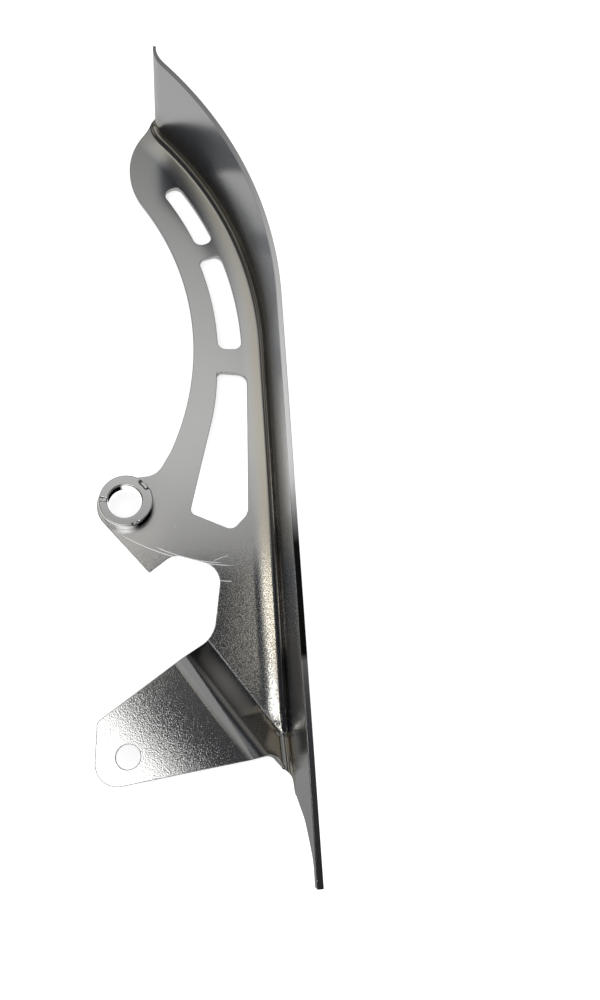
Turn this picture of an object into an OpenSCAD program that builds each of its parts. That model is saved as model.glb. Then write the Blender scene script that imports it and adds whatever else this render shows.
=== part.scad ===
// Pressed steel belt guard with a spacer ring on its mounting eye.
// The origin is on the eye axis at the underside of the flat web, +Z up,
// and +Y runs along the straight stretch of the side flange.

/* [Sheet] */
// Thickness of the steel sheet
sheet_t = 2.3; // [1.5:0.1:3]
// Inside radius of the bend between web and flange
bend_r = 3; // [2:0.5:5]
// Height of the flange above the underside of the web
flange_h = 50; // [40:1:60]

/* [Flange line] */
// Distance from the eye axis to the inner face of the straight flange
face_x = 64; // [60:0.5:68]
// Inside radius of the flange where it follows the pulley
arc_r = 170; // [160:1:180]
// How far above the eye the straight flange turns into the arc
arc_start_y = 75; // [70:1:80]
// How far above the eye the arc ends and the horn turns back
arc_end_y = 189.6313; // [186:0.5:192]
// Radius of the reversed curve at the horn, on the inner face
flick_r = 14.5; // [12:0.5:18]
// How far above the eye the horn ends
horn_y = 200.8; // [198:0.2:203]

/* [Tongue] */
// How far below the eye the tongue of the flange reaches
tongue_y = 149.3; // [140:0.5:155]
// Height of the blunt tip of the tongue
tip_h = 4.6; // [3:0.1:8]
// How far below the eye the cut of the tongue starts at the web
tongue_root_y = 116; // [114:0.5:119]

/* [Web] */
// Width of the web, from the flange face to the curved edge on its open side
web_w = 36.6; // [34:0.2:40]
// Radius of the rounded lobe at the top of the web
lobe_r = 36; // [30:0.5:40]
// Radius of the hollow between the lobe and the horn
neck_r = 26.5; // [22:0.5:30]
// Radius of the hollow between the web and the eye
throat_r = 9; // [6:0.5:11]

/* [Slots] */
// Distance from the flange face to the outer edge of the two curved slots
slot_inset = 10.5; // [9:0.1:12]
// Width of the upper slot
upper_slot_w = 8.8; // [6:0.2:10]
// Width of the middle slot
middle_slot_w = 11; // [8:0.2:12]
// Corner radius of the upper and middle slots
slot_corner_r = 3.8; // [2:0.2:4]
// Corner radius at the outer foot of the lower slot
foot_corner_r = 7; // [4:0.5:9]

/* [Eye] */
// Bore through the eye and its spacer ring
bore_d = 14.2; // [12:0.1:16]
// Outside diameter of the spacer ring
ring_d = 22.6; // [20:0.2:26]
// Height of the spacer ring above the web
ring_h = 5.7; // [4:0.1:8]
// Bevel on the rims of the spacer ring
ring_bevel = 0.4; // [0.2:0.1:0.8]
// Radius of the punch that left the three stake marks on the ring
stake_r = 0.9; // [0.6:0.1:1.5]
// Depth of the stake marks
stake_depth = 0.5; // [0.2:0.1:0.6]
// Length of a stake mark, inwards from the rim
stake_len = 2; // [1:0.1:3]
// Sheet left around the spacer ring
eye_rim = 0.7; // [0:0.1:1.5]

/* [Tab] */
// How far the tab is raised above the web
tab_rise = 9; // [6:0.5:10]
// Length of the slope between web and tab, seen from above
slope_run = 13; // [11:0.5:15]
// Inside radius of the bend at the foot of the slope
foot_r = 1.5; // [1:0.5:4]
// Outside radius of the soft bend at the top of the slope
crest_r = 7; // [4:0.5:9]
// Direction in which the tab runs off, counted from +X
tab_dir = 215.8; // [212:0.2:220]
// Distance of the lower bend line from the eye axis, along the tab direction
fold_reach = 8; // [6:0.5:10]
// Diameter of the bolt hole in the tab
hole_d = 9.3; // [7:0.1:11]
// Bolt hole, across from the eye axis
hole_x = 1; // [-2:0.5:4]
// Bolt hole, below the eye axis
hole_y = 103; // [100:0.5:106]

/* [Hidden] */
$fn = 96;
steel = "silver";

// Room that cutters and fills reach past the part
over = 25;
// Reach of the fills to every side, past the whole part
far = horn_y + 2 * over;
// Room that a cutter passes the sheet by
clear = 1;
// Depth by which a fill sinks into the faces that it joins
sink = 0.8;
// Radius of the plug that joins the fills of the arc and the horn
seam_r = 0.5;
// Steps along each rounded corner of an outline, and along its long arcs
corner_steps = 8;
arc_steps = 16;
// Angle by which the arc overlaps its neighbours, so that no seam stays open
lap_a = 5;

arc_c = [face_x - arc_r, arc_start_y];
arc_angle = asin((arc_end_y - arc_start_y) / arc_r);
flick_c = arc_c + (arc_r + flick_r) * dir(arc_angle);

// Curves of the open side of the web, each one tangent to the next
edge_r = arc_r - web_w;
edge_shift = [3.8, 3.6];
edge_c = arc_c + edge_shift;
lobe_y = 172.3433;
edge_top_a = asin((lobe_y - edge_c[1]) / (edge_r + lobe_r));
lobe_c = edge_c + (edge_r + lobe_r) * dir(edge_top_a);
neck_a = 143.5;
neck_c = lobe_c + (lobe_r + neck_r) * dir(neck_a);
neck_end_a = asin((horn_y - neck_c[1]) / neck_r);
edge_foot_y = 24.34;
edge_foot_a = asin((edge_foot_y - edge_c[1]) / edge_r);

// Eye, tooth and notch below it
eye_r = ring_d / 2 + eye_rim;
eye_top_a = 95;
tooth = [9.6, -30];
tooth_r = 0.6;
eye_foot_a = atan2(tooth[1], tooth[0]) - acos(eye_r / norm(tooth));
throat = [13.4, eye_r + 1.4, throat_r];
notch = [[19.8, -22.4, 7], [40, -28.6, 9], [35.7, -57.6, 14]];

// Corners of the tab, placed from its bolt hole
hole = [hole_x, -hole_y];
tab_corners = [
    at(hole, [-11.6, 13.6], 2.5),
    at(hole, [-12.9, -11.8], 9),
    at(hole, [46, -4.6], 20)
];
// Where the lower edge turns down into the tongue
turn_in = [[57.4, -105.4, 4], [face_x - 0.5, 1 - tongue_root_y, 6]];

// How far along the bend lines the step begins, counted from the eye axis
fold_from = 45;

// Slope between web and tab
slope_a = atan2(tab_rise, slope_run);
tab_v = dir(tab_dir);

// Slots, each one between two radii about the pulley axis
slot_r = arc_r - slot_inset;
upper_slot_a = [21.4, 34.2];
middle_slot_a = [0, 18.6];
lower_slot = [
    [55.3, 62, 4.5],
    [41.6, 63.1, 2.5],
    [41.2, 50, 120],
    [27.4, -4, 2.5],
    [45.3, -12.2, 4],
    [52.4, -5, foot_corner_r]
];

// Side view of the tongue, as distances along Y and heights. Its cut goes up
// from the root to a knee, and from there to the run of the tip
knee_run = 13.3;
knee_drop = 17.2;
tip_run = 25;
tongue_side = [
    [-tongue_root_y, -2 * over],
    [-tongue_root_y, 0],
    [-tongue_root_y - knee_run, flange_h - knee_drop, 20],
    [-tongue_root_y - tip_run, flange_h - tip_h, 8],
    [-tongue_y - 2 * over, flange_h - tip_h],
    [-tongue_y - 2 * over, -2 * over]
];

// Directions of the three stake marks
stake_a = [176, 36, -70];

function dir(a) = [cos(a), sin(a)];
function at(origin, shift, r) = [origin[0] + shift[0], origin[1] + shift[1], r];
function flat(p) = [p[0], p[1]];
function unit(v) = v / norm(v);
function turn(a, b) = atan2(a[0] * b[1] - a[1] * b[0], a * b);

// Points on an arc about c from one angle to another
function arc(c, r, a0, a1, n) = [for (i = [0:n]) c + r * dir(a0 + (a1 - a0) * i / n)];

// Points of one corner b between a and c, rounded to the radius that b carries
function corner(a, b, c) =
    let (
        u = unit(flat(b) - flat(a)),
        w = unit(flat(c) - flat(b)),
        swing = turn(u, w),
        side = swing > 0 ? 1 : -1,
        reach = b[2] * tan(abs(swing) / 2),
        centre = flat(b) - reach * u + side * b[2] * [-u[1], u[0]],
        first = atan2(u[1], u[0]) - side * 90
    )
    arc(centre, b[2], first, first + swing, corner_steps);

// An outline of corners, where a corner without a radius stays sharp
function outline(p) = [
    for (i = [0:len(p) - 1])
        let (b = p[i], a = p[(i + len(p) - 1) % len(p)], c = p[(i + 1) % len(p)])
        each (b[2] == undef || b[2] == 0) ? [flat(b)] : corner(a, b, c)
];

// The web, tab and flange strip seen from above
module plan() {
    polygon(outline(concat(
        [[face_x + over, horn_y]],
        arc(neck_c, neck_r, neck_end_a, neck_a - 180, corner_steps),
        arc(lobe_c, lobe_r, neck_a, 180 + edge_top_a, arc_steps),
        arc(edge_c, edge_r, edge_top_a, edge_foot_a, 2 * arc_steps),
        [throat],
        arc([0, 0], eye_r, eye_top_a, 360 + eye_foot_a, arc_steps),
        [at([0, 0], tooth, tooth_r)],
        notch,
        tab_corners,
        turn_in,
        [[face_x - 0.5, -tongue_y], [face_x + over, -tongue_y]]
    )));
}

// Side view of what the flange keeps: its free edge and the cut of its tongue
module side() {
    difference() {
        translate([-tongue_y - over, -over]) square([tongue_y + horn_y + 2 * over, flange_h + over]);
        polygon(outline(tongue_side));
    }
}

// Everything on the web's side of the flange, moved out by d
module inside_plan(d) {
    translate([-far, -tongue_y - 2 * over]) square([far + face_x + d, tongue_y + 2 * over + arc_start_y]);
    intersection() {
        translate(arc_c) circle(arc_r + d, $fn = 360);
        polygon([arc_c, arc_c + 2 * far * dir(-lap_a), arc_c + 2 * far * dir(arc_angle + lap_a)]);
    }
    difference() {
        polygon([arc_c, flick_c, flick_c + [0, over], [arc_c[0], horn_y + over]]);
        translate(flick_c) circle(flick_r - d);
    }
}

// Section of the fill in a square corner at the origin, with a hollow face of radius r
module square_fillet(r) {
    difference() {
        polygon([[sink, -sink], [sink, r], [0, r], [-r, 0], [-r, -sink]]);
        translate([-r, r]) circle(r);
    }
}

// Fill in the bend between web and flange, along the line, the arc and the horn
module bend_fill(d) {
    r = bend_r + d;
    seam = arc_c + (arc_r + d) * dir(arc_angle);
    translate([face_x + d, arc_start_y, sheet_t - d])
        rotate([90, 0, 0]) linear_extrude(tongue_y + arc_start_y + over) square_fillet(r);
    translate([arc_c[0], arc_c[1], sheet_t - d])
        rotate_extrude(angle = arc_angle, $fn = 360) translate([arc_r + d, 0]) square_fillet(r);
    translate([flick_c[0], flick_c[1], sheet_t - d])
        rotate([0, 0, 90 + arc_angle]) rotate_extrude(angle = 90)
            translate([flick_r - d, 0]) mirror([1, 0]) square_fillet(r);
    // Closes the seam between arc and horn, deep inside the fill
    translate([seam[0], seam[1], -over]) cylinder(h = over + sheet_t - d + seam_r, r = seam_r);
}

// Side view of web, slope and tab, filled from below, with its top moved down by d
module step_side(d) {
    shift = d * tan(slope_a / 2);
    polygon(outline([
        [-far, -over - d],
        [far, -over - d],
        [far, sheet_t + tab_rise - d],
        [slope_run + shift, sheet_t + tab_rise - d, crest_r - d],
        [shift, sheet_t - d, foot_r + d],
        [-far, sheet_t - d]
    ]));
}

// The step below the notch, and the flat web that goes on above it past the eye
module step_fill(d) {
    translate(fold_reach * [tab_v[0], tab_v[1], 0]) rotate([90, 0, tab_dir]) {
        translate([0, 0, -far]) linear_extrude(far - fold_from) step_side(d);
        translate([0, 0, -fold_from]) linear_extrude(far + fold_from)
            translate([-far, -over - d]) square([2 * far, over + sheet_t]);
    }
}

// Fill in the corner where the slope runs into the flange
module corner_fill(d) {
    rise = tan(slope_a);
    lean = atan(-rise * tab_v[1]);
    // Slope of the step where it is cut square to the corner line
    leg_a = atan(-rise * tab_v[0] * cos(lean));
    open_a = 90 - leg_a;
    r = bend_r + d;
    reach = r / tan(open_a / 2);
    x = face_x + d;
    y = -tongue_root_y;
    z = sheet_t - d / cos(slope_a) + rise * (tab_v * [x, y] - fold_reach);
    translate([x, y, z]) rotate([-lean, 0, 0]) rotate([90, 0, 180])
        linear_extrude(3 * over, center = true)
            difference() {
                polygon([
                    [-sink, -sink],
                    reach * dir(leg_a) - [0, sink],
                    reach * dir(leg_a),
                    [0, reach],
                    [-sink, reach]
                ]);
                translate(r / sin(open_a / 2) * dir(leg_a + open_a / 2)) circle(r);
            }
}

// All that lies below and outside the sheet's upper face, moved into the sheet by d
module under(d) {
    step_fill(d);
    translate([0, 0, -over]) linear_extrude(flange_h + over + d)
        difference() {
            translate([0, -tongue_y - over - d]) square([face_x + 2 * over + d, tongue_y + horn_y + 2 * over]);
            inside_plan(d);
        }
    bend_fill(d);
    corner_fill(d);
}

// The pressed sheet before its slots and holes are cut
module pressing() {
    intersection() {
        difference() {
            under(0);
            under(sheet_t);
        }
        translate([0, 0, -clear]) linear_extrude(flange_h + clear) plan();
        translate([-over - hole_x, 0, 0]) rotate([90, 0, 90]) linear_extrude(face_x + 3 * over) side();
    }
}

// A slot between two radii about the pulley axis, with rounded corners
module ring_slot(w, a) {
    r = slot_corner_r;
    in_r = slot_r - w;
    trim_in = asin(r / (in_r + r));
    trim_out = asin(r / (slot_r - r));
    translate(arc_c) {
        polygon(concat(
            arc([0, 0], slot_r, a[0] + trim_out, a[1] - trim_out, arc_steps),
            arc((slot_r - r) * dir(a[1] - trim_out), r, a[1] - trim_out, a[1] + 90, corner_steps),
            arc((in_r + r) * dir(a[1] - trim_in), r, a[1] + 90, a[1] + 180 - trim_in, corner_steps),
            arc([0, 0], in_r, a[1] - trim_in, a[0] + trim_in, arc_steps),
            arc((in_r + r) * dir(a[0] + trim_in), r, a[0] + 180 + trim_in, a[0] + 270, corner_steps),
            arc((slot_r - r) * dir(a[0] + trim_out), r, a[0] - 90, a[0] + trim_out, corner_steps)
        ));
    }
}

module slots() {
    ring_slot(upper_slot_w, upper_slot_a);
    ring_slot(middle_slot_w, middle_slot_a);
    polygon(outline(lower_slot));
}

module guard_shell() {
    color(steel) difference() {
        pressing();
        translate([0, 0, -clear]) linear_extrude(sheet_t + 2 * clear) slots();
        translate([0, 0, -clear]) cylinder(h = sheet_t + 2 * clear, d = bore_d);
        translate([hole[0], hole[1], tab_rise - clear]) cylinder(h = sheet_t + 2 * clear, d = hole_d);
    }
}

// Turned ring fixed on the eye, with three punch marks in its upper rim
module spacer_ring() {
    in_r = bore_d / 2;
    out_r = ring_d / 2;
    color(steel) translate([0, 0, sheet_t]) difference() {
        rotate_extrude() polygon([
            [in_r, 0],
            [out_r, 0],
            [out_r, ring_h - ring_bevel],
            [out_r - ring_bevel, ring_h],
            [in_r + ring_bevel, ring_h],
            [in_r, ring_h - ring_bevel]
        ]);
        for (a = stake_a)
            rotate([0, 0, a]) translate([out_r - stake_len, 0, ring_h + stake_r - stake_depth])
                rotate([0, 90, 0]) cylinder(h = over, r = stake_r);
    }
}

guard_shell();
spacer_ring();
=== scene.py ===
import math

import bpy
from mathutils import Euler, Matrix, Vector
from mathutils.geometry import delaunay_2d_cdt


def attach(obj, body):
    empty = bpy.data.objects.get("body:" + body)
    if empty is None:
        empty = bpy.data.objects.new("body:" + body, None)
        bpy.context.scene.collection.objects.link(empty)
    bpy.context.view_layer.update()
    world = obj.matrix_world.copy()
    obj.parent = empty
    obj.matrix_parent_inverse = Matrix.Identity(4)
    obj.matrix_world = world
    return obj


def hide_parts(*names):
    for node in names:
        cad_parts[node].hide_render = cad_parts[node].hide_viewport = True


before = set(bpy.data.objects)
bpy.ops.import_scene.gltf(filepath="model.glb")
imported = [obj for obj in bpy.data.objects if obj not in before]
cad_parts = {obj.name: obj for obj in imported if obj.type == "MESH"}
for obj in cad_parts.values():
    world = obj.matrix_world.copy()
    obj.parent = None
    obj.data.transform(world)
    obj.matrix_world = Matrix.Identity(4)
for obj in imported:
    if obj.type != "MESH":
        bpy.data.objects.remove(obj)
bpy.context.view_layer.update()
print("stage: frame loaded")

scene = bpy.context.scene
mm = 0.001

# Lengths are millimetres and angles degrees, in the frame of the CAD model:
# origin on the eye axis at the underside of the web, +Y along the straight flange.
shell = {
    "thickness": 2.3,
    "bendRadius": 3.0,
    "height": 50.0,
    "faceX": 64.0,
    "arcRadius": 170.0,
    "arcStartY": 75.0,
    "arcAngle": 42.4,
    "flickRadius": 14.5,
    "hornY": 200.8,
    "hornThinning": 0.9,  # how much thinner the sheet is at the end of the horn
    "hornSteps": 40,
    "tongueY": 149.3,
    "tongueTip": 4.6,
    "tongueRootY": 116.0,
    "tongueKnee": (13.3, 17.2, 20.0),  # run from the root, drop from the free edge, radius
    "tongueTaper": (25.0, 8.0),  # run from the root to where the tip starts, radius
    "edgeRadius": 133.4,
    "edgeShift": (3.8, 3.6),
    "lobeRadius": 36.0,
    "neckRadius": 26.5,
    "edgeTop": 33.6,
    "edgeFoot": -24.0,
    "neckAngle": 143.5,
    "throat": (13.4, 13.4, 9.0),
    "eyeRadius": 12.0,
    "eyeTop": 95.0,
    "tooth": (9.6, -30.0, 0.6),
    "notch": ((19.8, -22.4, 7.0), (40.0, -28.6, 9.0), (35.7, -57.6, 14.0)),
    "tab": ((-10.6, -89.4, 2.5), (-11.9, -114.8, 9.0), (47.0, -107.6, 20.0)),
    "turnIn": ((57.4, -105.4, 4.0), (63.5, -115.0, 6.0)),
    "slotRadius": 159.5,
    "slotCorner": 3.8,
    "upperSlot": (8.8, 21.4, 34.2),  # width and the two end angles
    "middleSlot": (11.0, 0.0, 18.6),
    "lowerSlot": (
        (55.3, 62.0, 4.5),
        (41.6, 63.1, 2.5),
        (41.2, 50.0, 120.0),
        (27.4, -4.0, 2.5),
        (45.3, -12.2, 4.0),
        (52.4, -5.0, 7.0),
    ),
    "boreRadius": 7.1,
    "holeCentre": (1.0, -103.0),
    "holeRadius": 4.65,
    "tabRise": 9.0,
    "slopeRun": 13.0,
    "tabDirection": 215.8,
    "foldReach": 8.0,
    "foldFrom": 45.0,  # nothing is stepped up short of this, along the fold
    "footRadius": 2.2,
    "crestRadius": 15.0,
    "edgeRound": 0.3,
    "edgeRows": 4,
    "leadLength": 8.0,  # the web starts to curl up this far before the bend
    "leadAngle": 9.5,  # how far it has curled where the bend starts
    "leadStart": (-98.0, -86.0),  # the curl grows between these two places along Y
    "squeeze": 0.1,  # width of the flange in the flat pattern, against its real height
}


def direction(angle):
    return Vector((math.cos(math.radians(angle)), math.sin(math.radians(angle))))


def ease(value, low, high):
    share = min(1.0, max(0.0, (value - low) / (high - low)))
    return share * share * (3 - 2 * share)


def arcPoints(centre, radius, first, last, step=1.2):
    count = max(3, math.ceil(abs(math.radians(last - first)) * radius / step))
    turns = [first + (last - first) * i / count for i in range(count + 1)]
    return [Vector(centre) + radius * direction(turn) for turn in turns]


def roundedCorner(before, corner, after):
    here = Vector(corner[:2])
    into = (here - Vector(before[:2])).normalized()
    away = (Vector(after[:2]) - here).normalized()
    swing = math.degrees(math.atan2(into.x * away.y - into.y * away.x, into.dot(away)))
    side = 1 if swing > 0 else -1
    reach = corner[2] * math.tan(math.radians(abs(swing) / 2))
    centre = here - reach * into + side * corner[2] * Vector((-into.y, into.x))
    first = math.degrees(math.atan2(into.y, into.x)) - side * 90
    return arcPoints(centre, corner[2], first, first + swing, 0.6)


def roundedOutline(corners):
    points = []
    for i, corner in enumerate(corners):
        points += roundedCorner(corners[i - 1], corner, corners[(i + 1) % len(corners)])
    return points


def densify(points, step, closed=True):
    # Splits the long straight stretches of an outline
    result = []
    ends = points[1:] + points[:1] if closed else points[1:]
    for a, b in zip(points, ends):
        count = max(1, math.ceil((b - a).length / step))
        result += [a.lerp(b, i / count) for i in range(count)]
    if not closed:
        result.append(points[-1])
    return result


def evenly(low, high, gap):
    return [low + gap * i for i in range(round((high - low) / gap))]


arcCentre = Vector((shell["faceX"] - shell["arcRadius"], shell["arcStartY"]))
flickCentre = arcCentre + (shell["arcRadius"] + shell["flickRadius"]) * direction(shell["arcAngle"])
lineX = shell["faceX"] - shell["bendRadius"]  # where the straight bend starts
arcBend = shell["arcRadius"] - shell["bendRadius"]
flickBend = shell["flickRadius"] + shell["bendRadius"]
bendLength = shell["bendRadius"] * math.pi / 2
wallLength = shell["height"] - shell["thickness"] - shell["bendRadius"]
stripWidth = shell["squeeze"] * (bendLength + wallLength)
slopeTan = shell["tabRise"] / shell["slopeRun"]
slopeAngle = math.atan(slopeTan)
tabAxis = direction(shell["tabDirection"])
foldAxis = Vector((-tabAxis.y, tabAxis.x))
flickEnd = 180 - math.degrees(math.asin((shell["hornY"] - flickCentre.y) / shell["flickRadius"]))


def stepHeight(p):
    # Height of the tab's step above the web, with its two bends
    if foldAxis.dot(p) < shell["foldFrom"]:
        return 0.0
    v = tabAxis.dot(p) - shell["foldReach"]
    foot = shell["footRadius"]
    crest = shell["crestRadius"]
    footLength = foot * math.tan(slopeAngle / 2)
    crestLength = crest * math.tan(slopeAngle / 2)
    top = shell["slopeRun"] + crestLength
    if v <= -footLength:
        return 0.0
    if v < footLength * math.cos(slopeAngle):
        return foot - math.sqrt(foot**2 - (v + footLength) ** 2)
    if v < shell["slopeRun"] - crestLength * math.cos(slopeAngle):
        return v * slopeTan
    if v < top:
        return shell["tabRise"] - crest + math.sqrt(crest**2 - (v - top) ** 2)
    return shell["tabRise"]


def fromBend(p):
    # Foot point on the line where the bend starts, the way out from there, and the distance
    turn = math.degrees(math.atan2(p.y - arcCentre.y, p.x - arcCentre.x))
    if p.y <= arcCentre.y:
        return Vector((lineX, p.y)), Vector((1.0, 0.0)), p.x - lineX
    if turn <= shell["arcAngle"]:
        out = direction(turn)
        return arcCentre + arcBend * out, out, (p - arcCentre).length - arcBend
    away = p - flickCentre
    out = -away.normalized()
    return flickCentre - flickBend * out, out, flickBend - away.length


def leadAt(base):
    # Angle that the web has curled up by where the bend starts; none at the tab's step
    return math.radians(shell["leadAngle"]) * ease(base.y, *shell["leadStart"])


def upperFace(p):
    # The place of a point of the flat pattern on the upper face of the sheet
    base, out, over = fromBend(p)
    lead = leadAt(base)
    span = shell["leadLength"]
    radius = shell["bendRadius"] / (1 - math.sin(lead))
    if lead and over <= 0:
        curl = max(0.0, over + span)
        z = shell["thickness"] + stepHeight(p) + math.tan(lead) * curl**2 / (2 * span)
        return Vector((p.x, p.y, z))
    low = shell["thickness"] + stepHeight(base) + math.tan(lead) * span / 2
    lean = 0.0
    if base.y < -60:
        # Beside the tab's step the bend starts from a leaning sheet
        nudge = Vector((0.05, 0.0))
        lean = -(stepHeight(base + nudge) - stepHeight(base - nudge)) / (2 * nudge.x)
    theta = math.atan(lean)
    centreZ = low + radius * math.cos(lead) / math.cos(theta)
    if over <= 0:
        z = shell["thickness"] + stepHeight(p)
        if lean and over > -radius * math.sin(theta):
            z = centreZ - math.sqrt(radius**2 - over**2)
        return Vector((p.x, p.y, z))
    run = over / shell["squeeze"]
    if run <= bendLength:
        angle = lead + run / bendLength * (math.pi / 2 - lead)
        flat = base + radius * (math.sin(angle) - math.sin(lead)) * out
        return Vector((flat.x, flat.y, centreZ - radius * math.cos(angle)))
    flat = base + shell["bendRadius"] * out
    share = (run - bendLength) / wallLength
    return Vector((flat.x, flat.y, centreZ + share * (shell["height"] - centreZ)))


def upperNormal(p):
    # From two short steps on the face, shorter on the flange, whose pattern is squeezed
    base, out, over = fromBend(p)
    side = Vector((-out.y, out.x))
    small = 0.004 if over > -0.2 else 0.05
    across = upperFace(p + small * 0.1 * out) - upperFace(p - small * 0.1 * out)
    along = upperFace(p + small * side) - upperFace(p - small * side)
    return across.cross(along).normalized()


def localThickness(p):
    # The sheet thins along the flick of the horn
    away = p - flickCentre
    if p.y < flickCentre.y - 25 or away.length > flickBend + 2:
        return shell["thickness"]
    turned = math.degrees(math.atan2(away.y, away.x)) % 360
    start = 180 + shell["arcAngle"]
    return shell["thickness"] - shell["hornThinning"] * (1 - ease(turned, flickEnd, start))


def toPattern(p):
    # A point seen from above, brought into the flat pattern
    base, out, over = fromBend(p)
    if over <= 0:
        return p
    lead = leadAt(base)
    radius = shell["bendRadius"] / (1 - math.sin(lead))
    angle = math.asin(min(1.0, over / radius + math.sin(lead)))
    return base + shell["squeeze"] * bendLength * (angle - lead) / (math.pi / 2 - lead) * out


def onWall(y, z):
    # A point on the straight inner face of the flange, brought into the flat pattern
    low = shell["thickness"] + stepHeight(Vector((lineX, y))) + shell["bendRadius"]
    share = (z - low) / (shell["height"] - low)
    return Vector((lineX + shell["squeeze"] * (bendLength + share * wallLength), y))


def sheetOutline():
    edgeCentre = arcCentre + Vector(shell["edgeShift"])
    lobeCentre = edgeCentre + (shell["edgeRadius"] + shell["lobeRadius"]) * direction(shell["edgeTop"])
    neckCentre = lobeCentre + (shell["lobeRadius"] + shell["neckRadius"]) * direction(shell["neckAngle"])
    neckEnd = math.degrees(math.asin((shell["hornY"] - neckCentre.y) / shell["neckRadius"]))
    eye = shell["eyeRadius"]
    tooth = Vector(shell["tooth"][:2])
    eyeFoot = math.degrees(math.atan2(tooth.y, tooth.x) - math.acos(eye / tooth.length))

    seen = arcPoints(neckCentre, shell["neckRadius"], neckEnd, shell["neckAngle"] - 180)
    seen += arcPoints(lobeCentre, shell["lobeRadius"], shell["neckAngle"], 180 + shell["edgeTop"])
    edge = arcPoints(edgeCentre, shell["edgeRadius"], shell["edgeTop"], shell["edgeFoot"])
    seen += edge
    eyeArc = arcPoints((0, 0), eye, shell["eyeTop"], 360 + eyeFoot, 0.8)
    seen += roundedCorner(edge[-1], shell["throat"], eyeArc[0])
    seen += eyeArc
    lower = [tuple(eyeArc[-1]), shell["tooth"], *shell["notch"], *shell["tab"], *shell["turnIn"]]
    lower.append((63.5, -shell["tongueY"]))
    for i in range(1, len(lower) - 1):
        seen += roundedCorner(lower[i - 1], lower[i], lower[i + 1])
    seen = [p for p in densify(seen, 2.5, closed=False) if p.x < shell["faceX"] - 0.52]

    pattern = [toPattern(p) for p in seen]

    # The cut of the tongue on the flange, its tip and the free edge
    root = shell["tongueRootY"]
    top = shell["height"] - shell["tongueTip"]
    kneeRun, kneeDrop, kneeRadius = shell["tongueKnee"]
    taperRun, taperRadius = shell["tongueTaper"]
    cut = (
        (-root + 0.4, -1.0),
        (-root - kneeRun, shell["height"] - kneeDrop, kneeRadius),
        (-root - taperRun, top, taperRadius),
        (-shell["tongueY"], top),
    )
    tongue = [Vector(cut[0])]
    tongue += roundedCorner(cut[0], cut[1], cut[2]) + roundedCorner(cut[1], cut[2], cut[3])
    tongue.append(Vector(cut[3]))
    tongue = densify(tongue, 1.5, closed=False)
    startZ = upperFace(pattern[-1]).z + 0.8
    pattern += [onWall(p.x, p.y) for p in tongue if p.y > startZ]
    rim = lineX + stripWidth
    pattern += densify([Vector((rim, -shell["tongueY"])), Vector((rim, arcCentre.y))], 3.0, closed=False)
    pattern += arcPoints(arcCentre, arcBend + stripWidth, 0, shell["arcAngle"], 1.5)[1:]
    pattern += arcPoints(flickCentre, flickBend - stripWidth, 180 + shell["arcAngle"], flickEnd, 0.5)[1:]

    # Back down the end of the horn
    rise = shell["hornY"] - flickCentre.y
    for step in range(1, shell["hornSteps"]):
        run = (bendLength + wallLength) * (1 - step / shell["hornSteps"])
        out = shell["bendRadius"] * math.sin(min(run / shell["bendRadius"], math.pi / 2))
        angle = 180 - math.degrees(math.asin(rise / (flickBend - out)))
        p = flickCentre + (flickBend - shell["squeeze"] * run) * direction(angle)
        if (p - pattern[0]).length > 0.35 and run > 1.0:
            pattern.append(p)
    return pattern


def ringSlot(width, first, last):
    # A slot along the arc, from one angle to another, with four rounded corners
    outer = shell["slotRadius"]
    inner = outer - width
    r = shell["slotCorner"]
    trimIn = math.degrees(math.asin(r / (inner + r)))
    trimOut = math.degrees(math.asin(r / (outer - r)))
    corners = (
        (outer - r, last - trimOut, last - trimOut, last + 90),
        (inner + r, last - trimIn, last + 90, last + 180 - trimIn),
        (inner + r, first + trimIn, first + 180 + trimIn, first + 270),
        (outer - r, first + trimOut, first - 90, first + trimOut),
    )
    rounds = [arcPoints(arcCentre + away * direction(turn), r, a, b, 0.5) for away, turn, a, b in corners]
    points = arcPoints(arcCentre, outer, first + trimOut, last - trimOut) + rounds[0] + rounds[1]
    points += arcPoints(arcCentre, inner, last - trimIn, first + trimIn) + rounds[2] + rounds[3]
    return points


def dropDoubles(points, least=0.05):
    kept = []
    for p in points:
        if not kept or (p - kept[-1]).length > least:
            kept.append(p)
    while (kept[0] - kept[-1]).length <= least:
        kept.pop()
    return kept


def signedArea(points):
    return sum(a.x * b.y - b.x * a.y for a, b in zip(points, points[1:] + points[:1])) / 2


def isInside(p, points):
    inside = False
    for a, b in zip(points, points[1:] + points[:1]):
        if (a.y > p.y) != (b.y > p.y) and p.x < (b.x - a.x) * (p.y - a.y) / (b.y - a.y) + a.x:
            inside = not inside
    return inside


def nearestDistance(p, points):
    return min((p - q).length for q in points)


def patternLoops():
    outer = dropDoubles(sheetOutline())
    holes = [
        ringSlot(*shell["upperSlot"]),
        ringSlot(*shell["middleSlot"]),
        densify(roundedOutline(shell["lowerSlot"]), 3.0),
        arcPoints((0, 0), shell["boreRadius"], 0, 360, 0.5),
        arcPoints(shell["holeCentre"], shell["holeRadius"], 0, 360, 0.4),
    ]
    loops = [outer if signedArea(outer) > 0 else outer[::-1]]
    for hole in holes:
        hole = dropDoubles(hole)
        loops.append(hole if signedArea(hole) < 0 else hole[::-1])
    return loops


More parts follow.
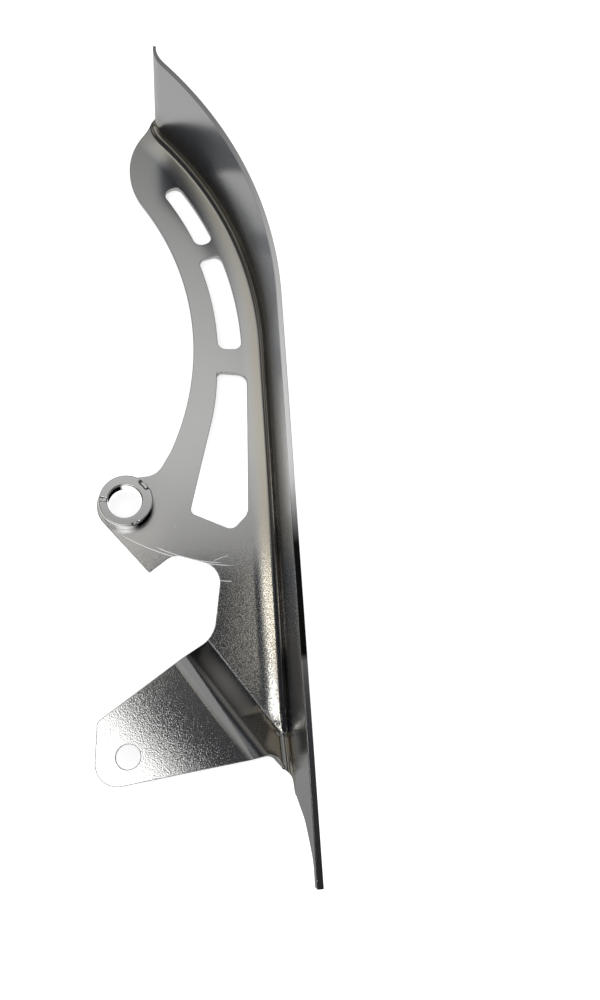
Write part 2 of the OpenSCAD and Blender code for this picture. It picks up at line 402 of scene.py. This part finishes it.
def guideLines():
    # Lines inside the pattern that the bends need: along the flange, and along the two folds of the tab
    runs = [shell["bendRadius"] * math.radians(a) for a in range(0, 91, 6)]
    runs += [bendLength + wallLength * share for share in (0.04, 0.15, 0.3, 0.5, 0.7, 0.88)]
    lines = []
    for run in runs:
        out = shell["squeeze"] * run
        line = [Vector((lineX + out, y)) for y in evenly(-148, -55, 1.5) + evenly(-54, 75, 3)]
        line += arcPoints(arcCentre, arcBend + out, 0, shell["arcAngle"], 1.8)
        line += arcPoints(flickCentre, flickBend - out, 180 + shell["arcAngle"], flickEnd, 0.6)[1:]
        lines.append(line)

    # Beside the tab's step, and where the web curls up
    for out in (-1.0, -0.5, -0.25):
        lines.append([Vector((lineX + out, y)) for y in evenly(-115, -90, 1)])
    for share in (1.06, 1.0, 0.85, 0.7, 0.55, 0.4, 0.25, 0.1):
        out = -share * shell["leadLength"]
        line = [Vector((lineX + out, y)) for y in evenly(-96, 75, 3)]
        line += arcPoints(arcCentre, arcBend + out, 0, shell["arcAngle"], 2.0)
        line += arcPoints(flickCentre, flickBend - out, 180 + shell["arcAngle"], flickEnd, 1.0)[1:]
        lines.append(line)

    foot = shell["footRadius"] * math.tan(slopeAngle / 2)
    crest = shell["crestRadius"] * math.tan(slopeAngle / 2)
    folds = [-foot + 0.85 * i / 3 for i in range(4)]
    low = shell["slopeRun"] - crest * math.cos(slopeAngle)
    folds += [low + (shell["slopeRun"] + crest - low) * i / 12 for i in range(13)]
    for v in folds:
        start = (shell["foldReach"] + v) * tabAxis
        lines.append([start + along * foldAxis for along in evenly(50, 125, 2)])
    return lines


def buildShell():
    loops = patternLoops()
    points = [p for loop in loops for p in loop]
    edges = []
    first = 0
    for loop in loops:
        count = len(loop)
        edges += [(first + i, first + (i + 1) % count) for i in range(count)]
        first += count
    boundary = list(points)
    for line in guideLines():
        last = None
        for p in line:
            clear = 0.42 if p.x < lineX - 1 else 0.21  # least distance from the rim
            good = isInside(p, loops[0]) and not any(isInside(p, hole) for hole in loops[1:])
            if good and nearestDistance(p, boundary) > clear:
                points.append(p)
                if last is not None:
                    edges.append((last, len(points) - 1))
                last = len(points) - 1
            else:
                last = None
    cut = delaunay_2d_cdt(points, edges, [], 1, 1e-5)
    verts = cut[0]
    middles = [sum((verts[i] for i in face), Vector((0, 0))) / 3 for face in cut[2]]
    faces = [f for f, m in zip(cut[2], middles) if not any(isInside(m, hole) for hole in loops[1:])]
    print("stage: flat pattern,", len(verts), "points,", len(faces), "triangles")

    upper = [upperFace(v) for v in verts]
    normals = [upperNormal(v) for v in verts]
    lower = [p - localThickness(v) * n for p, n, v in zip(upper, normals, verts)]
    count = len(verts)
    places = upper + lower
    facing = normals + [-n for n in normals]
    polygons = [tuple(f) for f in faces] + [tuple(i + count for i in reversed(f)) for f in faces]

    # Rounded rim: an edge that only one triangle uses belongs to the boundary
    used = {(a, b) for f in faces for a, b in zip(f, f[1:] + f[:1])}
    rimNext = {a: b for a, b in sorted(used) if (b, a) not in used}
    rimBefore = {b: a for a, b in rimNext.items()}
    rounding = shell["edgeRound"]
    rows = shell["edgeRows"]
    rings = {}
    for i, after in rimNext.items():
        tangent = (upper[after] - upper[i]).normalized() + (upper[i] - upper[rimBefore[i]]).normalized()
        n = normals[i]
        outward = tangent.cross(n).normalized()
        top = upper[i].copy()
        bottom = lower[i].copy()
        row = [i]
        for k in range(1, rows + 1):
            angle = math.pi / 2 * k / rows
            inset = rounding * (1 - math.sin(angle)) * outward
            places.append(top - inset - rounding * (1 - math.cos(angle)) * n)
            facing.append((math.cos(angle) * n + math.sin(angle) * outward).normalized())
            row.append(len(places) - 1)
        for k in range(rows, 0, -1):
            angle = math.pi / 2 * k / rows
            inset = rounding * (1 - math.sin(angle)) * outward
            places.append(bottom - inset + rounding * (1 - math.cos(angle)) * n)
            facing.append((-math.cos(angle) * n + math.sin(angle) * outward).normalized())
            row.append(len(places) - 1)
        row.append(i + count)
        rings[i] = row
        places[i] = top - rounding * outward
        places[i + count] = bottom - rounding * outward
    for i, after in rimNext.items():
        polygons += list(zip(rings[i], rings[i][1:], rings[after][1:], rings[after]))
    mesh = bpy.data.meshes.new("guardShell")
    mesh.from_pydata([tuple(p * mm) for p in places], [], polygons)
    mesh.update()
    mesh.shade_smooth()
    mesh.normals_split_custom_set_from_vertices([tuple(n) for n in facing])
    piece = bpy.data.objects.new("guardShell", mesh)
    scene.collection.objects.link(piece)
    print("stage: shell,", len(polygons), "faces")
    return piece


ring = {
    "bore": 7.1,
    "outer": 11.3,
    "foot": 2.3,
    "height": 5.7,
    "rim": 0.5,  # radius of its two upper edges
    "footBevel": 0.2,
    "outerShift": (0.5, 0.35),  # the outside was turned a little off centre
    "punchSoft": 0.3,
    "punchReach": 2.2,  # how far down the metal gives way under the punch
    "stakes": (
        {"angle": 175.0, "width": 1.1, "length": 3.7, "depth": 0.5},
        {"angle": 42.0, "width": 2.9, "length": 1.7, "depth": 0.6},
        {"angle": -68.0, "width": 1.9, "length": 0.8, "depth": 0.8},
    ),
    "steps": 300,
    "facet": 0.3,
    "sharpFrom": 35.0,
    "roughness": 0.08,
    # Painted reflections and painted shade on the walls, as dark and light crescents: between two radii,
    # from one angle to another
    "paintedWallReflections": (
        (9.0, 13.0, -75.0, 30.0, (0.05, 0.05, 0.055)),
        (9.0, 13.0, -160.0, -70.0, (0.95, 0.95, 0.94)),
        (6.5, 8.5, 92.0, 185.0, (0.01, 0.01, 0.012)),
        (6.5, 8.5, 50.0, 104.0, (0.95, 0.94, 0.90)),
    ),
    "tintEdge": 0.3,  # how softly a tone starts and ends, in millimetres
    "tintTurn": 20.0,  # and in degrees
}


def ringProfile():
    # (radius, height) pairs once round the section of the spacer ring, with rounded rims
    inner = ring["bore"]
    outer = ring["outer"]
    low = ring["foot"]
    high = low + ring["height"]
    r = ring["rim"]
    points = []
    for centre, first in (((outer - r, high - r), 0), ((inner + r, high - r), 90)):
        points += [Vector(centre) + r * direction(first + 90 * i / 6) for i in range(7)]
    # The wall down the bore, the foot and the wall up again
    bevel = ring["footBevel"]
    points += [Vector((inner, low + bevel)), Vector((inner + bevel, low))]
    points += [Vector((outer - bevel, low)), Vector((outer, low + bevel))]
    split = []
    for a, b in zip(points, points[1:] + points[:1]):
        pieces = max(1, round((b - a).length / ring["facet"]))
        split += [a.lerp(b, i / pieces) for i in range(pieces)]
    return split


def stakedPoint(radius, height, angle):
    # Pushes the rim down where the punch struck it
    top = ring["foot"] + ring["height"]
    soft = ring["punchSoft"]
    drop = 0.0
    for stake in ring["stakes"]:
        across = radius * math.sin(math.radians(angle - stake["angle"]))
        along = radius * math.cos(math.radians(angle - stake["angle"]))
        if along > 0:
            reach = ring["outer"] - stake["length"]
            sideways = 1 - ease(abs(across), stake["width"] * 0.5, stake["width"])
            drop += stake["depth"] * ease(along, reach - soft, reach + soft) * sideways
    keep = min(1.0, max(0.0, (height - top) / ring["punchReach"] + 1))
    share = (radius - ring["bore"]) / (ring["outer"] - ring["bore"])
    p = radius * direction(angle) + share * Vector(ring["outerShift"])
    return Vector((p.x, p.y, height - drop * keep))


def buildRing():
    profile = ringProfile()
    steps = ring["steps"]
    places = [stakedPoint(q.x, q.y, 360 * i / steps) for i in range(steps) for q in profile]
    size = len(profile)
    faces = []
    for i in range(steps):
        for j in range(size):
            a = i * size + j
            b = i * size + (j + 1) % size
            c = (i + 1) % steps * size + (j + 1) % size
            d = (i + 1) % steps * size + j
            faces.append((a, d, c, b))
    mesh = bpy.data.meshes.new("spacerRing")
    mesh.from_pydata([tuple(p * mm) for p in places], [], faces)
    mesh.update()
    piece = bpy.data.objects.new("spacerRing", mesh)
    scene.collection.objects.link(piece)
    mesh.shade_smooth()
    mesh.set_sharp_from_angle(angle=math.radians(ring["sharpFrom"]))
    print("stage: ring,", len(faces), "faces")
    return piece


# Short names for building node trees
def addNode(tree, kind, **values):
    node = tree.nodes.new(kind)
    for key, value in values.items():
        setattr(node, key, value)
    return node


def calc(tree, operation, a, b=None, c=None):
    node = addNode(tree, "ShaderNodeMath", operation=operation)
    for socket, value in zip(node.inputs, (a, b, c)):
        if value is None:
            continue
        if isinstance(value, (int, float)):
            socket.default_value = value
        else:
            tree.links.new(value, socket)
    return node.outputs[0]


def fade(tree, value, low, high, start=0.0, end=1.0):
    node = addNode(tree, "ShaderNodeMapRange", interpolation_type="SMOOTHSTEP")
    tree.links.new(value, node.inputs[0])
    for socket, number in zip(node.inputs[1:5], (low, high, start, end)):
        socket.default_value = number
    return node.outputs[0]


def product(tree, *values):
    total = values[0]
    for value in values[1:]:
        total = calc(tree, "MULTIPLY", total, value)
    return total


def fall(tree, value, ends, after=0.0):
    return fade(tree, value, *ends, 1.0, after)


def window(tree, value, ends, after=0.0):
    # Rises between the first two ends and falls between the last two
    return product(tree, fade(tree, value, *ends[:2]), fall(tree, value, ends[2:], after))


def distance(tree, a, b):
    return calc(tree, "SQRT", calc(tree, "MULTIPLY_ADD", a, a, calc(tree, "MULTIPLY", b, b)))


def noiseAt(tree, place, scale, detail):
    node = addNode(tree, "ShaderNodeTexNoise")
    node.inputs["Scale"].default_value = scale
    node.inputs["Detail"].default_value = detail
    tree.links.new(place, node.inputs[0])
    return node.outputs[0]


def blendColour(tree, share, first, second):
    node = addNode(tree, "ShaderNodeMix", data_type="RGBA")
    for socket, value in ((node.inputs[0], share), (node.inputs[6], first), (node.inputs[7], second)):
        if isinstance(value, (int, float)):
            socket.default_value = value
        elif isinstance(value, tuple):
            socket.default_value = (*value, 1.0)
        else:
            tree.links.new(value, socket)
    return node.outputs[2]


# The studio as the chrome sees it, laid out on a plane one unit above the object: x and y say how
# far a place lies from straight overhead, and ramps run along y.
studio = {
    "overhead": (
        (-0.30, (0.08, 0.08, 0.08)),
        (0.00, (0.055, 0.055, 0.06)),
        (0.08, (0.10, 0.10, 0.105)),
        (0.15, (0.30, 0.295, 0.28)),
        (0.25, (0.38, 0.38, 0.38)),
        (0.31, (0.62, 0.62, 0.62)),
        (0.38, (0.84, 0.84, 0.835)),
        (0.46, (0.78, 0.78, 0.77)),
        (0.58, (0.67, 0.67, 0.66)),
        (0.75, (0.44, 0.44, 0.43)),
        (0.88, (0.27, 0.27, 0.265)),
        (1.30, (0.18, 0.18, 0.18)),
    ),
    "left": (
        (-0.05, (0.05, 0.05, 0.05)),
        (0.15, (0.11, 0.105, 0.10)),
        (0.24, (0.13, 0.145, 0.175)),
        (0.32, (0.42, 0.43, 0.44)),
        (0.39, (1.00, 0.98, 0.90)),
        (0.46, (0.62, 0.64, 0.70)),
        (0.56, (0.40, 0.43, 0.50)),
        (1.00, (0.35, 0.375, 0.42)),
    ),
    "leftFade": (-0.16, -0.30),
    "dark": (0.024, 0.027, 0.034),
    "darkFade": (-0.42, -0.76),
    "horizon": (0.15, 0.145, 0.14),
    "horizonFade": (-2.6, -4.5),
    # Each card: place, half sizes, soft border, turn in degrees and colour
    "cards": (
        ((0.75, 0.70), (0.35, 0.38), 0.35, 0, (0.36, 0.36, 0.36)),
        ((-0.28, -0.33), (0.36, 0.08), 0.05, 0, (2.6, 2.6, 2.6)),
        ((0.055, 0.170), (0.040, 0.05), 0.03, 0, (0.02, 0.025, 0.035)),
        ((0.115, 0.15), (0.012, 0.06), 0.03, 0, (0.48, 0.45, 0.39)),
        ((-1.9, 1.35), (0.6, 0.45), 0.25, 0, (0.30, 0.285, 0.27)),
        ((-0.74, 0.43), (0.04, 0.05), 0.06, 0, (0.30, 0.31, 0.35)),
        ((-0.15, 0.17), (0.07, 0.04), 0.05, 0, (1.5, 1.42, 1.25)),
        ((-0.105, -0.027), (0.055, 0.10), 0.03, 39, (3.0, 3.0, 2.95)),
    ),
    "lowest": 0.02,  # height above the horizon at which the layout stops
    "diffuse": 0.85,
}


def rampAlong(tree, value, stops):
    low = stops[0][0]
    high = stops[-1][0]
    node = addNode(tree, "ShaderNodeValToRGB")
    ramp = node.color_ramp
    while len(ramp.elements) < len(stops):
        ramp.elements.new(0.5)
    for element, (place, colour) in zip(ramp.elements, stops):
        element.position = (place - low) / (high - low)
        element.color = (*colour, 1.0)
    tree.links.new(calc(tree, "DIVIDE", calc(tree, "SUBTRACT", value, low), high - low), node.inputs[0])
    return node.outputs[0]


def addCard(tree, east, north, card, colour):
    (x, y), (wide, high), soft, turn, tone = card
    sine = math.sin(math.radians(turn))
    cosine = math.cos(math.radians(turn))
    across = calc(tree, "SUBTRACT", east, x)
    along = calc(tree, "SUBTRACT", north, y)
    side = calc(tree, "MULTIPLY_ADD", along, sine, calc(tree, "MULTIPLY", across, cosine))
    up = calc(tree, "MULTIPLY_ADD", across, -sine, calc(tree, "MULTIPLY", along, cosine))
    inWidth = fall(tree, calc(tree, "ABSOLUTE", side), (wide, wide + soft))
    inHeight = fall(tree, calc(tree, "ABSOLUTE", up), (high, high + soft))
    return blendColour(tree, product(tree, inWidth, inHeight), colour, tone)


def buildWorld():
    world = bpy.data.worlds.new("studioRoom")
    scene.world = world
    world.use_nodes = True
    tree = world.node_tree
    tree.nodes.clear()
    place = addNode(tree, "ShaderNodeTexCoord")
    split = addNode(tree, "ShaderNodeSeparateXYZ")
    tree.links.new(place.outputs["Generated"], split.inputs[0])
    up = calc(tree, "MAXIMUM", split.outputs[2], studio["lowest"])
    east = calc(tree, "DIVIDE", split.outputs[0], up)
    north = calc(tree, "DIVIDE", split.outputs[1], up)
    overhead = rampAlong(tree, north, studio["overhead"])
    left = rampAlong(tree, north, studio["left"])
    start, end = studio["leftFade"]
    colour = blendColour(tree, fade(tree, east, end, start), left, overhead)
    start, end = studio["darkFade"]
    colour = blendColour(tree, fade(tree, east, end, start), studio["dark"], colour)
    start, end = studio["horizonFade"]
    colour = blendColour(tree, fade(tree, east, end, start), studio["horizon"], colour)
    for card in studio["cards"]:
        colour = addCard(tree, east, north, card, colour)
    reflected = addNode(tree, "ShaderNodeBackground")
    tree.links.new(colour, reflected.inputs[0])
    plain = addNode(tree, "ShaderNodeBackground")
    plain.inputs[0].default_value = (1.0, 1.0, 1.0, 1.0)
    plain.inputs[1].default_value = studio["diffuse"]
    white = addNode(tree, "ShaderNodeBackground")
    white.inputs[0].default_value = (1.0, 1.0, 1.0, 1.0)
    path = addNode(tree, "ShaderNodeLightPath")
    mirror = calc(tree, "MAXIMUM", path.outputs["Is Glossy Ray"], path.outputs["Is Transmission Ray"])
    first = addNode(tree, "ShaderNodeMixShader")
    tree.links.new(mirror, first.inputs[0])
    tree.links.new(plain.outputs[0], first.inputs[1])
    tree.links.new(reflected.outputs[0], first.inputs[2])
    second = addNode(tree, "ShaderNodeMixShader")
    tree.links.new(path.outputs["Is Camera Ray"], second.inputs[0])
    tree.links.new(first.outputs[0], second.inputs[1])
    tree.links.new(white.outputs[0], second.inputs[2])
    out = addNode(tree, "ShaderNodeOutputWorld")
    tree.links.new(second.outputs[0], out.inputs[0])


# The plate. Pairs are where something fades, and fours where it comes and goes, in millimetres.
chrome = {
    "colour": (0.62, 0.62, 0.615),
    "uneven": (60.0, 3.0, 0.95),  # scale, detail and the duller places against the colour
    # Nickel shows through in the inside corner, where the chrome is thin
    "nickel": (0.60, 0.565, 0.49),
    "nickelReach": (3.5, 9.0),
    "nickelLift": 0.6,
    # Painted shade: a darker colour at the foot of the flange, and up its straight part
    "paintedFootShade": (0.20, 0.19, 0.185),
    "shadeHeight": (3.0, 5.0, 9.0, 24.0),
    "shadeLength": (-85.0, -70.0, 110.0, 135.0),
    "shadeBeyond": 0.4,
    "paintedWallShade": (0.07, 0.072, 0.078),
    "wallHeight": (5.0, 9.0, 28.0, 50.0),
    "wallTop": 0.45,
    "wallLength": (-62.0, -30.0, 50.0, 125.0),
    "wallAmount": 0.9,
    "flangeDepth": (2.0, 3.5),
    "cutEdgeHeight": (49.6, 49.9),
    "cutEdgeReflections": (  # painted reflections and painted shade on the free edge of the flange, from the tongue up to the horn
        (-150.0, (0.25, 0.25, 0.25)),
        (-110.0, (0.50, 0.50, 0.50)),
        (-74.5, (0.50, 0.50, 0.50)),
        (-72.5, (0.015, 0.015, 0.015)),
        (-31.1, (0.015, 0.015, 0.015)),
        (-6.1, (0.85, 0.85, 0.85)),
        (90.0, (0.85, 0.85, 0.85)),
        (200.0, (0.62, 0.62, 0.615)),
    ),
    "smooth": 0.19,  # roughness of the upper part
    "peeled": 0.06,  # roughness under the orange peel of the lower part
    "eyeHaze": 0.08,  # added round the eye
    "eyeHazeReach": (11.0, 24.0),
    # Orange peel, from the eye down to the tab but not on the flange
    "peelLength": (-45.0, -10.0),
    "peelHeight": (13.0, 16.0),
    "peelScale": 2600.0,
    "peelDepth": 0.017,
    # Painted glints and painted dark specks from grain to grain of the peel, for the light it catches
    # unevenly
    "grainScale": 2500.0,
    "grainHeight": (2.6, 4.5),
    "grainPaintedShade": (0.17, 0.185, 0.215),
    "grainDarkFrom": (0.40, 0.52),
    "grainDarkAmount": 0.75,
    "grainPaintedGlint": (0.97, 0.965, 0.95),
    "grainLightFrom": (0.50, 0.62),
    "grainLightAmount": 0.9,
    "scratch": (0.95, 0.95, 0.95),
    # Scratches: start, end, how far they bow, and width
    "scratches": (
        (-5.0, -11.1, 48.0, -28.2, -4.0, 0.28),
        (11.1, -18.0, 41.8, -26.8, -1.9, 0.25),
        (36.2, -26.0, 43.5, -23.6, 0.3, 0.19),
        (38.4, -34.3, 44.4, -35.0, 0.0, 0.23),
    ),
    "specks": (
        (21.0, -10.1, 0.3),
        (15.8, -15.7, 0.25),
        (37.5, -47.9, 0.4),
        (36.9, -46.0, 0.3),
        (29.0, 6.0, 0.2),
    ),
}


def scratchMask(tree, x, y, scratch):
    x0, y0, x1, y1, bow, width = scratch
    chord = math.hypot(x1 - x0, y1 - y0)
    east = (x1 - x0) / chord
    north = (y1 - y0) / chord
    relX = calc(tree, "SUBTRACT", x, x0)
    relY = calc(tree, "SUBTRACT", y, y0)
    run = calc(tree, "MULTIPLY_ADD", relY, north, calc(tree, "MULTIPLY", relX, east))
    off = calc(tree, "MULTIPLY_ADD", relY, east, calc(tree, "MULTIPLY", relX, -north))
    share = calc(tree, "DIVIDE", run, chord)
    # A parabola through the three points
    curve = product(tree, share, calc(tree, "SUBTRACT", 1.0, share), 4 * bow)
    line = fall(tree, calc(tree, "ABSOLUTE", calc(tree, "SUBTRACT", off, curve)), (width * 0.4, width))
    return product(tree, line, window(tree, share, (0.0, 0.15, 0.85, 1.0)))


def plateMaterial(name):
    # The plain plate: a metal shader with an uneven tint
    material = bpy.data.materials.new(name)
    material.use_nodes = True
    tree = material.node_tree
    tree.nodes.clear()
    shader = addNode(tree, "ShaderNodeBsdfPrincipled")
    shader.inputs["Metallic"].default_value = 1.0
    out = addNode(tree, "ShaderNodeOutputMaterial")
    tree.links.new(shader.outputs[0], out.inputs[0])
    place = addNode(tree, "ShaderNodeTexCoord").outputs["Object"]
    split = addNode(tree, "ShaderNodeSeparateXYZ")
    tree.links.new(place, split.inputs[0])
    where = [calc(tree, "MULTIPLY", output, 1 / mm) for output in split.outputs]
    scale, detail, duller = chrome["uneven"]
    dullColour = tuple(c * duller for c in chrome["colour"])
    tint = blendColour(tree, noiseAt(tree, place, scale, detail), chrome["colour"], dullColour)
    return material, shader, place, where, tint


def ringMaterial():
    material, shader, place, (x, y, z), tint = plateMaterial("ringChrome")
    tree = material.node_tree
    turned = calc(tree, "MULTIPLY", calc(tree, "ARCTAN2", y, x), 180 / math.pi)
    radius = distance(tree, y, x)
    upward = addNode(tree, "ShaderNodeSeparateXYZ")
    tree.links.new(addNode(tree, "ShaderNodeNewGeometry").outputs["Normal"], upward.inputs[0])
    wall = fall(tree, calc(tree, "ABSOLUTE", upward.outputs[2]), (0.15, 0.55))
    soft = ring["tintEdge"]
    turn = ring["tintTurn"]
    paintedReflectionTint = (1.0, 1.0, 1.0)
    # Painted reflections and painted shade: dark and light crescents laid into the walls' colour and
    # specular tint
    for low, high, first, last, colour in ring["paintedWallReflections"]:
        band = window(tree, radius, (low, low + soft, high - soft, high))
        span = window(tree, turned, (first, first + turn, last - turn, last))
        share = product(tree, wall, band, span)
        tint = blendColour(tree, share, tint, colour)
        paintedReflectionTint = blendColour(tree, share, paintedReflectionTint, colour)
    tree.links.new(tint, shader.inputs["Base Color"])
    tree.links.new(paintedReflectionTint, shader.inputs["Specular Tint"])
    shader.inputs["Roughness"].default_value = ring["roughness"]
    return material


def shellMaterial():
    material, shader, place, (x, y, z), tint = plateMaterial("shellChrome")
    tree = material.node_tree

    # Distance from the flange, seen from above, and the height up the flange
    relX = calc(tree, "SUBTRACT", x, arcCentre.x)
    relY = calc(tree, "MAXIMUM", calc(tree, "SUBTRACT", y, arcCentre.y), 0.0)
    inset = calc(tree, "SUBTRACT", shell["arcRadius"], distance(tree, relY, relX))
    lifted = calc(tree, "SUBTRACT", z, shell["bendRadius"])
    reach = calc(tree, "MULTIPLY_ADD", lifted, chrome["nickelLift"], inset)
    tint = blendColour(tree, fall(tree, reach, chrome["nickelReach"]), tint, chrome["nickel"])
    # Painted shade: darker colour at the foot of the flange and up its straight part
    flange = fall(tree, inset, chrome["flangeDepth"])
    along = window(tree, y, chrome["shadeLength"], chrome["shadeBeyond"])
    foot = product(tree, window(tree, z, chrome["shadeHeight"]), along, flange)
    tint = blendColour(tree, foot, tint, chrome["paintedFootShade"])
    along = window(tree, y, chrome["wallLength"])
    wall = window(tree, z, chrome["wallHeight"], chrome["wallTop"])
    wall = product(tree, wall, along, flange, chrome["wallAmount"])
    tint = blendColour(tree, wall, tint, chrome["paintedWallShade"])
    # Painted reflections and painted shade along the free edge of the flange
    edge = fade(tree, z, *chrome["cutEdgeHeight"])
    tint = blendColour(tree, edge, tint, rampAlong(tree, y, chrome["cutEdgeReflections"]))

    peeled = product(tree, fall(tree, y, chrome["peelLength"]), fall(tree, z, chrome["peelHeight"]))
    sharp = calc(tree, "MAXIMUM", peeled, edge)
    rough = fade(tree, sharp, 0.0, 1.0, chrome["smooth"], chrome["peeled"])
    haze = fade(tree, distance(tree, y, x), *chrome["eyeHazeReach"], chrome["eyeHaze"], 0.0)
    tree.links.new(calc(tree, "ADD", rough, haze), shader.inputs["Roughness"])
    bump = addNode(tree, "ShaderNodeBump")
    bump.inputs["Distance"].default_value = chrome["peelDepth"] * mm
    tree.links.new(peeled, bump.inputs["Strength"])
    tree.links.new(noiseAt(tree, place, chrome["peelScale"], 1.0), bump.inputs["Height"])
    tree.links.new(bump.outputs[0], shader.inputs["Normal"])

    # Painted glints and painted shade specks on the grain of the orange peel, over its real bump
    grain = noiseAt(tree, place, chrome["grainScale"], 1.0)
    flat = product(tree, peeled, fall(tree, z, chrome["grainHeight"]))
    paintedGrainShade = product(tree, fall(tree, grain, chrome["grainDarkFrom"]), flat, chrome["grainDarkAmount"])
    tint = blendColour(tree, paintedGrainShade, tint, chrome["grainPaintedShade"])
    paintedGrainGlint = product(tree, fade(tree, grain, *chrome["grainLightFrom"]), flat, chrome["grainLightAmount"])
    tint = blendColour(tree, paintedGrainGlint, tint, chrome["grainPaintedGlint"])

    # Scratches and specks, on the upper face only
    marks = scratchMask(tree, x, y, chrome["scratches"][0])
    for scratch in chrome["scratches"][1:]:
        marks = calc(tree, "MAXIMUM", marks, scratchMask(tree, x, y, scratch))
    for speckX, speckY, size in chrome["specks"]:
        a = calc(tree, "ABSOLUTE", calc(tree, "SUBTRACT", x, speckX))
        b = calc(tree, "ABSOLUTE", calc(tree, "SUBTRACT", y, speckY))
        speck = fall(tree, calc(tree, "ADD", a, b), (size * 0.5, size))
        marks = calc(tree, "MAXIMUM", marks, speck)
    face = shell["thickness"]
    marks = product(tree, marks, fade(tree, z, face - 0.3, face - 0.1))
    tint = blendColour(tree, marks, tint, chrome["scratch"])
    tree.links.new(tint, shader.inputs["Base Color"])
    tree.links.new(calc(tree, "SUBTRACT", 1.0, marks), shader.inputs["Metallic"])
    return material


camera = {
    "place": (18.6, -103.53, 337.0),
    "turn": (17.680, -8.467, -4.011),
    "lens": 28.8,
}


def buildCamera():
    data = bpy.data.cameras.new("photoCamera")
    data.sensor_fit = "VERTICAL"
    data.sensor_height = 36.0
    data.lens = camera["lens"]
    data.clip_start = 0.01
    piece = bpy.data.objects.new("photoCamera", data)
    piece.location = Vector(camera["place"]) * mm
    piece.rotation_euler = Euler([math.radians(a) for a in camera["turn"]], "XYZ")
    scene.collection.objects.link(piece)
    scene.camera = piece


floor = {
    "size": 3.0,
    "colour": (0.9, 0.9, 0.9),
    "drop": 0.2,  # keeps it clear of the underside of the sheet
    "glow": 0.6,  # added for the camera only
    # Brightness that the chrome sees, along y: dull by the tongue, lit by the eye
    "mirrored": (
        (-0.150, 0.26),
        (-0.110, 0.30),
        (-0.060, 0.60),
        (-0.020, 1.7),
        (0.015, 1.7),
        (0.060, 0.60),
        (0.200, 0.57),
    ),
}


def buildFloor():
    half = floor["size"] / 2
    mesh = bpy.data.meshes.new("floor")
    corners = [(-half, -half, 0), (half, -half, 0), (half, half, 0), (-half, half, 0)]
    mesh.from_pydata(corners, [], [(0, 1, 2, 3)])
    piece = bpy.data.objects.new("floor", mesh)
    piece.location = (0, 0, -floor["drop"] * mm)
    scene.collection.objects.link(piece)
    material = bpy.data.materials.new("paleFloor")
    material.use_nodes = True
    tree = material.node_tree
    tree.nodes.clear()
    matt = addNode(tree, "ShaderNodeBsdfDiffuse")
    matt.inputs[0].default_value = (*floor["colour"], 1.0)
    glow = addNode(tree, "ShaderNodeEmission")
    path = addNode(tree, "ShaderNodeLightPath")
    tree.links.new(calc(tree, "MULTIPLY", path.outputs["Is Camera Ray"], floor["glow"]), glow.inputs[1])
    both = addNode(tree, "ShaderNodeAddShader")
    tree.links.new(matt.outputs[0], both.inputs[0])
    tree.links.new(glow.outputs[0], both.inputs[1])
    # What the chrome sees of the floor is greyer than the floor itself
    grey = addNode(tree, "ShaderNodeEmission")
    spot = addNode(tree, "ShaderNodeTexCoord")
    split = addNode(tree, "ShaderNodeSeparateXYZ")
    tree.links.new(spot.outputs["Object"], split.inputs[0])
    stops = tuple((y, (value, value, value)) for y, value in floor["mirrored"])
    tree.links.new(rampAlong(tree, split.outputs[1], stops), grey.inputs[0])
    mirror = calc(tree, "MAXIMUM", path.outputs["Is Glossy Ray"], path.outputs["Is Transmission Ray"])
    mixed = addNode(tree, "ShaderNodeMixShader")
    tree.links.new(mirror, mixed.inputs[0])
    tree.links.new(both.outputs[0], mixed.inputs[1])
    tree.links.new(grey.outputs[0], mixed.inputs[2])
    out = addNode(tree, "ShaderNodeOutputMaterial")
    tree.links.new(mixed.outputs[0], out.inputs[0])
    mesh.materials.append(material)


shellPiece = buildShell()
shellPiece.data.materials.append(shellMaterial())
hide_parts("guard_shell")
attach(shellPiece, "root")

ringPiece = buildRing()
ringPiece.data.materials.append(ringMaterial())
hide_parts("spacer_ring")
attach(ringPiece, "root")

buildWorld()
buildFloor()
buildCamera()
print("stage: studio and camera")

scene.view_settings.view_transform = "Standard"
